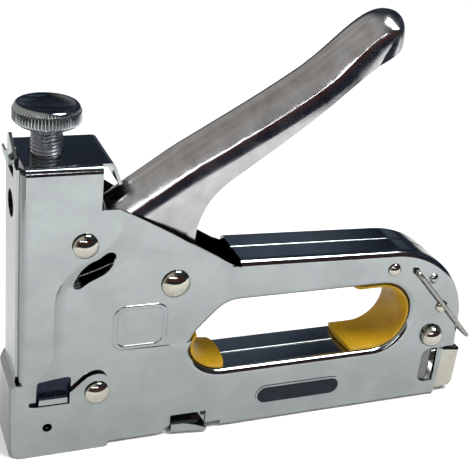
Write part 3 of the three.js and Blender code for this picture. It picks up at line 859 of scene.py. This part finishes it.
def spring(name, node, body, axis, radius, wire, turns):
    """A finished coil that fills the length of a CAD spring."""
    low, high = corners(node)
    length = (high - low).dot(axis) - 2 * wire
    start = (low + high) / 2 - axis * (length / 2)
    wound = coil(start, axis, radius, wire, length, turns)
    return finish_piece(wound, name, body, SPRING_STEEL, [node])


def compress(obj):
    """Give the spring a mesh of its own."""
    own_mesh(obj)


# ---- grip and magazine ----
def tongue_end(x, sign, reach=40.0):
    """An outline seen from above, with a rounded end at x that faces the rear for sign 1."""
    bulge = 3.4
    half = LINER_HIGH.y + 1.5
    end = Outline((x - sign * reach, -half))
    for i in range(17):
        t = -1 + i / 8
        end.line((x + sign * bulge * (math.sqrt(max(0.0, 1 - (0.97 * t) ** 2)) - 1), t * half))
    end.line((x - sign * reach, half))
    return end.points


def liner(keep, tongue):
    """A moulding round the inside of the hand hole, thinner at its middle, kept inside both outlines."""
    hole = list(reversed(hand_hole()))
    half = LINER_HIGH.y
    outer = stack([hole], [(GAP, -half), (GAP, half)])
    swell = [(GAP + 1.0, -half - 5), (GAP + 1.0, -half), (GAP + 1.6, -half + 1.6), (GAP + 2.0, -half / 2)]
    levels = swell + [(distance, -y) for distance, y in reversed(swell)]
    shell = common(cut(outer, stack([hole], levels)), plate(keep))
    return common(shell, plan(tongue, 0, 90))


def rear_cap():
    """The folded end cap, open at the top and towards the magazine."""
    half = REAR_CAP_HIGH.y
    rear = REAR_CAP_HIGH.x

    def wrap(inset, front):
        shape = Outline((front, -half + inset))
        shape.arc((rear - 2.2, -half + 2.2), 2.2 - inset, 270, 360, 10)
        shape.arc((rear - 2.2, half - 2.2), 2.2 - inset, 0, 90, 10)
        shape.line((front, half - inset))
        return shape.points

    side = [(169.6, 2.2), (178.6, 2.4), (180.6, 4.4), (rear, 19.2), (170.4, 20.6), (169.6, 20.6)]
    inside = [(150, -9), (177.6, -9), (179.7, 5), (rear, 40), (150, 40)]
    outer = common(plan(wrap(0, 166.5), 0, 40), plate(side))
    hollow = common(plan(wrap(SHEET, 150), -10, 45), plate(inside))
    return cut(outer, hollow)


def latch_arm():
    """The spring arm behind the D-shaped opening, gently bowed outwards."""
    bow = Outline((158.4, -9.8))
    bow.curve((160.6, -9.8), (161.4, -10.06), (163.0, -10.06))
    bow.line((166.2, -10.0), (166.2, -9.6), (163.0, -9.6))
    bow.curve((161.4, -9.6), (160.6, -9.4), (158.4, -9.4))
    side = Outline((158.6, 10.2))
    side.curve((158.6, 9.3), (159.1, 6.6), (160, 6.6), 6)
    side.line((166.2, 6.6), (166.2, 35.6), (160.4, 35.6))
    side.curve((159.2, 35.6), (158.6, 35), (158.6, 33.8), 6)
    return common(plan(bow.points, 0, 50), plate(side.points))


def latch_button():
    tip = -LATCH_LOW.y
    profile = [(0.001, 9.3), (BUTTON_R, 9.3), (BUTTON_R, tip - 3.4)]
    for i in range(1, 15):
        angle = math.pi / 2 * i / 14
        profile.append((max(BUTTON_R * math.cos(angle), 0.001), tip - 3.4 + 3.4 * math.sin(angle)))
    return lathe(profile, BUTTON, -ALONG_Y, 48)


def magazine():
    """The channel that the staples ride in, with a flared lug on each side."""
    half = MAGAZINE_HIGH.y
    wall = 8.3
    rail = section(channel(wall, MAGAZINE_HIGH.z, 1.6, 1.6, 6), MAGAZINE_LOW.x, MAGAZINE_HIGH.x)
    lugs = []
    for side in (-1, 1):
        rings = []
        for x, flare, top in ((58.0, 0.0, 4.7), (62.5, 0.5, 4.8), (67.0, 1.1, 3.9), (71.3, 1.7, 2.3)):
            reach = half + flare
            shape = Outline((wall - 0.6, 1.6))
            shape.line((reach - 0.9, 0.85))
            shape.curve((reach - 0.3, 0.8), (reach, 1.1), (reach, 1.6), 5)
            shape.line((reach, top), (reach - 0.8, top), (reach - 0.8, 2.2), (wall - 0.6, 3.0))
            rings.append([Vector((x, side * p.x, p.y)) for p in shape.points])
        lugs.append(loft(rings))
    return join(rail, *lugs)


# ---- materials ----
def set_inputs(node, inputs):
    for socket, value in inputs.items():
        node.inputs[socket.replace("_", " ")].default_value = value


class Nodes:
    """Shader nodes, linked in one tree."""

    def __init__(self, tree):
        self.nodes = tree.nodes
        self.links = tree.links

    def add(self, kind, **inputs):
        """A new node with some of its inputs set."""
        node = self.nodes.new("ShaderNode" + kind)
        set_inputs(node, inputs)
        return node

    def axes(self, vector):
        node = self.add("SeparateXYZ")
        self.links.new(vector, node.inputs["Vector"])
        return node.outputs

    def spread(self, factor, low, high, start=0.3, stop=0.7, course="LINEAR"):
        """The factor, stretched from start..stop to low..high."""
        node = self.add("MapRange", From_Min=start, From_Max=stop, To_Min=low, To_Max=high)
        node.interpolation_type = course
        self.links.new(factor, node.inputs["Value"])
        return node.outputs["Result"]

    def mix(self, factor, first, second):
        node = self.add("Mix")
        node.data_type = "RGBA"
        self.links.new(factor, node.inputs["Factor"])
        for socket, value in ((node.inputs["A"], first), (node.inputs["B"], second)):
            if isinstance(value, tuple):
                socket.default_value = (*value, 1)
            else:
                self.links.new(value, socket)
        return node.outputs["Result"]


class Paint(Nodes):
    """A procedural material under construction. Lengths in its textures are in millimetres."""

    def __init__(self, name, **inputs):
        self.material = bpy.data.materials.new(name)
        self.material.use_nodes = True
        super().__init__(self.material.node_tree)
        self.shader = self.nodes["Principled BSDF"]
        set_inputs(self.shader, inputs)
        self.place = self.add("TexCoord").outputs["Object"]
        self.bump = None

    def noise(self, size, detail, roughness=0.5, distortion=0.0):
        """Noise between 0 and 1 whose features are about size across, along x, y and z."""
        sizes = size if isinstance(size, tuple) else (size, size, size)
        mapping = self.add("Mapping", Scale=[1 / MM / length for length in sizes])
        node = self.add("TexNoise", Scale=1.0, Detail=detail, Roughness=roughness, Distortion=distortion)
        self.links.new(self.place, mapping.inputs["Vector"])
        self.links.new(mapping.outputs["Vector"], node.inputs["Vector"])
        return node.outputs["Fac"]

    def colour(self, value):
        self.links.new(value, self.shader.inputs["Base Color"])

    def roughness(self, value):
        self.links.new(value, self.shader.inputs["Roughness"])

    def relief(self, height, depth):
        """Bump of that depth in millimetres, over any that is there already."""
        node = self.add("Bump", Distance=depth * MM)
        self.links.new(height, node.inputs["Height"])
        if self.bump:
            self.links.new(self.bump, node.inputs["Normal"])
        self.bump = node.outputs["Normal"]
        self.links.new(self.bump, self.shader.inputs["Normal"])


def plated(name, bright, dull, rough, waviness, scratch=0.004, blotch=14.0):
    """Bright plate over pressed sheet: slow waves, faint cloudiness and fine scratches."""
    paint = Paint(name, Metallic=1.0)
    cloud = paint.noise(blotch, 5.0, 0.6, 0.4)
    specks = paint.noise(0.7, 4.0, 0.7)
    tint = paint.mix(paint.spread(cloud, 0.0, 1.0), bright, dull)
    paint.colour(paint.mix(paint.spread(specks, 0.0, 0.5, 0.62, 0.8), tint, tuple(0.55 * c for c in dull)))
    paint.roughness(paint.spread(paint.noise(6.0, 6.0, 0.65), rough * 0.7, rough * 1.6))
    paint.relief(paint.noise(17.0, 1.0, 0.4, 0.3), waviness)
    paint.relief(paint.noise((9.0, 9.0, 0.35), 3.0, 0.6), scratch)
    return paint.material


def oiled_steel(name, colour, rough):
    paint = Paint(name, Metallic=1.0)
    cloud = paint.noise(3.0, 5.0, 0.6)
    paint.colour(paint.mix(paint.spread(cloud, 0.0, 1.0), colour, tuple(0.6 * c for c in colour)))
    paint.roughness(paint.spread(paint.noise(1.2, 4.0), rough * 0.75, rough * 1.35))
    paint.relief(paint.noise((4.0, 0.25, 0.25), 3.0), 0.004)
    return paint.material


def moulded_plastic(name, colour, shade_colour, rough):
    """Satin plastic with painted shade: a lit and a shaded yellow laid in soft random patches, and a fine moulded
    grain.
    """
    paint = Paint(name, Subsurface_Weight=0.12, Subsurface_Radius=(0.004, 0.002, 0.0005),
                  Subsurface_Scale=0.6, Specular_IOR_Level=0.3, Coat_Weight=0.03, Coat_Roughness=0.35)
    cloud = paint.noise(11.0, 4.0, 0.55, 0.5)
    # painted shade: the colour and its shaded copy mixed in random patches
    paint.colour(paint.mix(paint.spread(cloud, 0.0, 1.0, 0.35, 0.68), colour, shade_colour))
    paint.roughness(paint.spread(paint.noise(2.5, 5.0), rough * 0.8, rough * 1.3))
    paint.relief(paint.noise(0.5, 3.0), 0.03)
    paint.relief(paint.noise(7.0, 2.0), 0.15)
    return paint.material


def black_rubber(name):
    paint = Paint(name)
    paint.colour(paint.mix(paint.noise(2.0, 4.0), (0.02, 0.02, 0.022), (0.05, 0.05, 0.048)))
    paint.roughness(paint.spread(paint.noise(0.8, 4.0), 0.55, 0.9))
    paint.relief(paint.noise(0.4, 3.0), 0.05)
    return paint.material


def dark_enamel(name):
    paint = Paint(name, Specular_IOR_Level=0.12)
    paint.colour(paint.mix(paint.noise(3.0, 4.0), (0.006, 0.009, 0.014), (0.014, 0.018, 0.025)))
    paint.roughness(paint.spread(paint.noise(1.5, 4.0), 0.25, 0.5))
    paint.relief(paint.noise(0.5, 2.0), 0.01)
    return paint.material


CHROME = plated("chrome_plate", (0.355, 0.385, 0.385), (0.295, 0.32, 0.32), 0.10, 0.05)
LEVER_CHROME = plated("lever_chrome", (0.45, 0.455, 0.46), (0.33, 0.325, 0.32), 0.14, 0.05, blotch=9.0)
NICKEL = plated("nickel_plate", (0.50, 0.495, 0.425), (0.42, 0.415, 0.355), 0.10, 0.01, 0.002, 3.0)
BRIGHT_STEEL = plated("bright_steel", (0.36, 0.38, 0.41), (0.28, 0.295, 0.32), 0.24, 0.0, 0.0, 3.0)
DULL_STEEL = plated("dull_spring_steel", (0.22, 0.22, 0.22), (0.16, 0.16, 0.16), 0.30, 0.01, 0.004, 4.0)
BAIL_STEEL = plated("bail_steel", (0.34, 0.335, 0.31), (0.26, 0.255, 0.24), 0.22, 0.005, 0.003, 3.0)
ZINC = oiled_steel("zinc_steel", (0.50, 0.51, 0.53), 0.26)
SPRING_STEEL = oiled_steel("spring_steel", (0.16, 0.165, 0.18), 0.32)
# painted shade: the second yellow is the liners' shaded tone
YELLOW = moulded_plastic("yellow_plastic", (0.39, 0.235, 0.004), (0.29, 0.155, 0.002), 0.42)
RUBBER = black_rubber("bumper_rubber")
ENAMEL = dark_enamel("dark_enamel")
# painted shade: a near-black plated sheet, put behind openings where only shade shows
PAINTED_SHADE_STEEL = plated("painted_shade_sheet", (0.026, 0.032, 0.048), (0.018, 0.022, 0.034), 0.25, 0.02, 0.004, 3.0)


# ---- the pieces on their bodies ----
def both_sides(obj):
    """A piece drawn on the left, and its mirror image."""
    return ("left", obj), ("right", mirror_y(obj))


def build_shells():
    for side, obj in both_sides(housing()):
        finish_piece(obj, f"{side}_housing_shell", "frame", CHROME, [f"{side}_housing"], 0.14)
    inlay = pill(-0.02, -BODY_HALF - 0.2, -BODY_HALF + 0.02)
    finish_piece(inlay, "plain_emblem_inlay", "frame", ENAMEL, [], 0.06)
    for node, draw in (("top_cap", top_cap), ("front_plate", front_plate), ("nose_shoe", nose_shoe)):
        finish_piece(draw(), f"{node}_sheet", "frame", CHROME, [node], 0.14)
    # painted shade: a dark sheet behind each nose window, where only shade shows inside
    for side, obj in both_sides(block(7.0, 22.0, -9.95, -9.6, 17.5, 33.0)):
        finish_piece(obj, f"{side}_window_shade_sheet", "frame", PAINTED_SHADE_STEEL, [], 0.06)


def build_screw():
    finish_piece(knob(), "knurled_knob", "screw", CHROME, ["tension_knob"], angle=50)
    finish_piece(stud(), "threaded_stud", "screw", BRIGHT_STEEL, ["tension_stud"], angle=70)


def build_lever():
    finish_piece(lever(), "drawn_lever", "lever", LEVER_CHROME, ["lever"], 0.12)
    spring("return_spring_coil", "lever_return_spring", "lever", ALONG_Y, 4.6, 0.6, 4.5)


def build_rivets():
    for node in ("lever_pivot", "upper_rivet", "lower_rivet", "grip_rivet_front", "grip_rivet_rear"):
        finish_piece(rivet(node), f"{node}_domes", "frame", NICKEL, [node], angle=50)


def build_grip():
    """The two liners, cut by side outlines and rounded tongues, and the wire bail."""
    front = [(50, 10), (79.5, 10), (79.5, 30), (70, 34), (66, 40.6), (50, 40.6)]
    rear = [(126.5, 10), (170, 10), (170, 70), (126.5, 70)]
    liners = {"front_liner": liner(front, tongue_end(78.3, 1)),
              "rear_liner": liner(rear, tongue_end(127.6, -1, reach=60))}
    for name, obj in liners.items():
        finish_piece(obj, f"{name}_moulding", "frame", YELLOW, [name], 0.3)
    finish_piece(bail(), "bail_wire", "bail", BAIL_STEEL, ["wire_bail"])


def build_magazine():
    finish_piece(magazine(), "magazine_rail", "frame", CHROME, ["magazine_channel"], 0.1)
    finish_piece(rear_cap(), "folded_end_cap", "pusher", NICKEL, ["pusher_cap"], 0.12)
    coils = spring("follower_spring_coil", "follower_spring", "pusher", ALONG_X, 1.55, 0.25, 46)
    compress(coils)
    # painted shade: a dark sheet behind each latch window, where only shade shows inside
    for side, obj in both_sides(block(158.2, 169.4, -6.3, -6.0, 6.0, 25.0)):
        finish_piece(obj, f"{side}_latch_shade_sheet", "frame", PAINTED_SHADE_STEEL, [], 0.06)
    arm = latch_arm()
    button = latch_button()
    halves = (("left", arm, button), ("right", mirror_y(arm), mirror_y(button)))
    for side, one_arm, one_button in halves:
        body = f"{side}_latch"
        finish_piece(one_arm, f"{side}_latch_arm", body, DULL_STEEL, [body], 0.06)
        finish_piece(one_button, f"{side}_latch_button", body, NICKEL, [], angle=50)


def build_striker():
    coils = spring("main_spring_coil", "main_spring", "frame", ALONG_Z, 6.2, 1.2, 6.5)
    compress(coils)


def paint_frame_nodes():
    """Inner CAD solids stay as they are, with their own finishes."""
    steel = ("stud_nut", "spring_cup", "striker_block", "stop_bracket", "lift_roller", "grip_spacer_front",
             "grip_spacer_rear", "magazine_core", "pusher_rod")
    finishes = {name: ZINC for name in steel}
    finishes.update(driver_blade=SPRING_STEEL, follower=SPRING_STEEL, striker_bumper=RUBBER)
    for name, material in finishes.items():
        coat(frame["nodes"][name], material)


# ---- stage ----
def floor_sheet(name, x0, x1, y0, y1, z, shade=1.0):
    """A flat sheet of floor that dims to that share from its front to the tool, and stays so behind: painted shade
    for the tool's shadow on the floor.
    """
    mesh = bpy.data.meshes.new(name)
    mesh.from_pydata([(x0, y0, z), (x1, y0, z), (x1, y1, z), (x0, y1, z)], [], [(0, 1, 2, 3)])
    obj = add_object(name, mesh)
    paint = Paint(name, Roughness=0.7)
    pale = paint.mix(paint.noise(300.0, 2.0), (0.90, 0.90, 0.90), (0.87, 0.87, 0.875))
    shadow_ramp = paint.spread(paint.axes(paint.place)["Y"], 0.0, 1.0, -0.21, -0.02)
    paint.colour(paint.mix(shadow_ramp, pale, (0.9 * shade,) * 3))
    mesh.materials.append(paint.material)
    return obj


def floor():
    """A wide pale floor. The plating mirrors only a table's width of it, then the dim room; that table carries a
    painted shadow near and behind the tool.
    """
    wide = floor_sheet("pale_floor", -6, 6, -6, 6, 0)
    wide.visible_glossy = False
    # painted shadow: the mirrored table dims to 0.7 of the floor near and behind the tool
    table = floor_sheet("mirrored_floor", -0.19, 0.9, -0.30, 1.2, 0.0001, shade=0.70)
    table.visible_camera = False
    table.visible_diffuse = False
    table.visible_shadow = False


def soft_light(name, place, target, size, power, in_reflections):
    light = bpy.data.lights.new(name, "AREA")
    light.shape = "RECTANGLE"
    light.size, light.size_y = size
    light.energy = power
    obj = add_object(name, light)
    obj.location = place
    obj.rotation_euler = (Vector(target) - Vector(place)).to_track_quat("-Z", "Y").to_euler()
    obj.visible_glossy = in_reflections


def room():
    """A dim room that the plating mirrors above the pale floor, with soft patches: grey to the left,
    dark slate to the right, brown over navy low in front."""
    world = bpy.data.worlds.new("room")
    bpy.context.scene.world = world
    world.use_nodes = True
    sky = Nodes(world.node_tree)
    direction = sky.add("TexCoord").outputs["Generated"]
    along = sky.axes(direction)
    noise = sky.add("TexNoise", Scale=4.0, Detail=2.0)
    sky.links.new(direction, noise.inputs["Vector"])
    patches = noise.outputs["Fac"]

    def fade(value, start, stop):
        return sky.spread(value, 0.0, 1.0, start, stop, "SMOOTHSTEP")

    slate = sky.mix(fade(patches, 0.45, 0.7), (0.020, 0.026, 0.040), (0.12, 0.15, 0.20))
    grey = sky.mix(fade(patches, 0.35, 0.65), (0.70, 0.69, 0.68), (0.50, 0.455, 0.42))
    sides = sky.mix(fade(along["X"], -0.28, 0.12), grey, slate)
    low_front = sky.mix(fade(along["Z"], -0.06, 0.04), (0.020, 0.028, 0.046), (0.085, 0.038, 0.036))
    under = sky.mix(fade(along["Z"], 0.52, 0.38), sides, low_front)
    front = fade(along["Y"], -0.45, -0.75)
    sky.links.new(sky.mix(front, sides, under), sky.nodes["Background"].inputs["Color"])


def lights():
    soft_light("floor_fill", (0.1, 0.4, 2.0), (0.1, 0.2, 0), (3.0, 3.0), 31, False)
    soft_light("overhead_strip", (0.45, -0.28, 0.95), (0.09, 0, 0.05), (0.35, 0.5), 12, True)
    soft_light("left_strip", (-0.16, -0.99, 0.55), (0.09, 0, 0.12), (0.9, 0.03), 1.6, True)
    soft_light("front_fill", (-0.5, -1.2, 0.8), (0.1, 0, 0.05), (0.8, 0.8), 3.6, False)


def camera():
    """From the front left and above, slightly rolled."""
    place = Vector((-50.17, -292.88, 232.60)) * MM
    right = Vector((0.92800, -0.35833, 0.10209))
    up = Vector((0.07406, 0.44593, 0.89200))
    back = right.cross(up)
    data = bpy.data.cameras.new("camera")
    data.sensor_width = 36
    data.lens = 77.44
    data.shift_x = -0.0015
    data.shift_y = -0.0023
    data.clip_start = 0.01
    obj = add_object("camera", data)
    obj.matrix_world = Matrix.Translation(place) @ Matrix((right, up, back)).transposed().to_4x4()
    bpy.context.scene.camera = obj


camera()
bpy.context.scene.view_settings.view_transform = "Standard"
floor()
room()
lights()
build_shells()
build_screw()
build_lever()
build_rivets()
build_grip()
build_magazine()
build_striker()
paint_frame_nodes()
